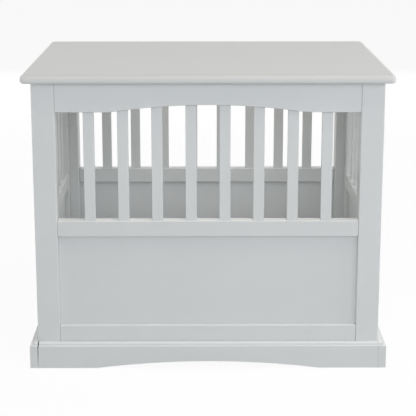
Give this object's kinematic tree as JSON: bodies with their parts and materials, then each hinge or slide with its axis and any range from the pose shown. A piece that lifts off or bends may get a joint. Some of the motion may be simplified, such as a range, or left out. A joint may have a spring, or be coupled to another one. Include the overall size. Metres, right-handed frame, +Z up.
{
  "type": "dog crate end table",
  "caption": "White painted wooden pet crate under a table top, with slatted and panelled sides, an arched top rail, a plinth, and a hinged side door with a slide bolt.",
  "frame": {"origin": "on the floor under the middle of the table top", "axes": "+Z up, +X from the left end to the end with the door, +Y from the front to the back"},
  "size_m": [0.61, 0.457, 0.502],
  "materials": {
    "painted_timber": "satin white paint on solid pine",
    "painted_board": "satin white paint on fibreboard",
    "painted_top": "satin white paint, sprayed and rubbed smooth",
    "satin_nickel": "satin nickel plate",
    "zinc_plated_steel": "bright zinc plate",
    "beech_dowel": "plain beech"
  },
  "bodies": {
    "crate": {"back_bottom_rail": "painted_timber", "back_mid_rail": "painted_timber", "back_panel": "painted_board", "back_slats": "painted_timber", "back_top_rail": "painted_timber", "door_header": "painted_timber", "door_sill": "painted_timber", "door_stop": "painted_timber", "dowels": "beech_dowel", "floor_cleats": "painted_timber", "floor_panel": "painted_board", "frame_screws": "zinc_plated_steel", "front_bottom_rail": "painted_timber", "front_mid_rail": "painted_timber", "front_panel": "painted_board", "front_slat_1": "painted_timber", "front_slat_2": "painted_timber", "front_slat_3": "painted_timber", "front_slat_4": "painted_timber", "front_slat_5": "painted_timber", "front_slat_6": "painted_timber", "front_slat_7": "painted_timber", "front_slat_8": "painted_timber", "front_top_rail": "painted_timber", "hinge_pins": "satin_nickel", "hinge_post_leaves": "satin_nickel", "latch_keeper": "satin_nickel", "left_bottom_rail": "painted_timber", "left_mid_rail": "painted_timber", "left_panel": "painted_board", "left_slats": "painted_timber", "left_stile_back": "painted_timber", "left_stile_front": "painted_timber", "left_top_rail": "painted_timber", "plinth_back": "painted_timber", "plinth_front": "painted_timber", "plinth_left": "painted_timber", "plinth_right": "painted_timber", "post_back_left": "painted_timber", "post_back_right": "painted_timber", "post_front_left": "painted_timber", "post_front_right": "painted_timber", "table_top": "painted_top", "top_brackets": "zinc_plated_steel"},
    "side_door": {"door_bottom_rail": "painted_timber", "door_hinge_stile": "painted_timber", "door_latch_stile": "painted_timber", "door_mid_rail": "painted_timber", "door_panel": "painted_board", "door_screws": "zinc_plated_steel", "door_slat_1": "painted_timber", "door_slat_2": "painted_timber", "door_slat_3": "painted_timber", "door_slat_4": "painted_timber", "door_slat_5": "painted_timber", "door_top_rail": "painted_timber", "hinge_door_leaves": "satin_nickel", "latch_plate": "satin_nickel"},
    "slide_bolt": {"latch_bolt": "satin_nickel", "latch_knob": "satin_nickel"}
  },
  "joints": [
    {"name": "door_swing", "type": "hinge", "parent": "crate", "child": "side_door", "pos_m": [0.292, -0.1735, 0.25525], "axis": [0, 0, -1], "range_deg": [0, 180]},
    {"name": "bolt_slide", "type": "slide", "parent": "side_door", "child": "slide_bolt", "axis": [0, 1, 0], "range_m": [0, 0.016]}
  ]
}
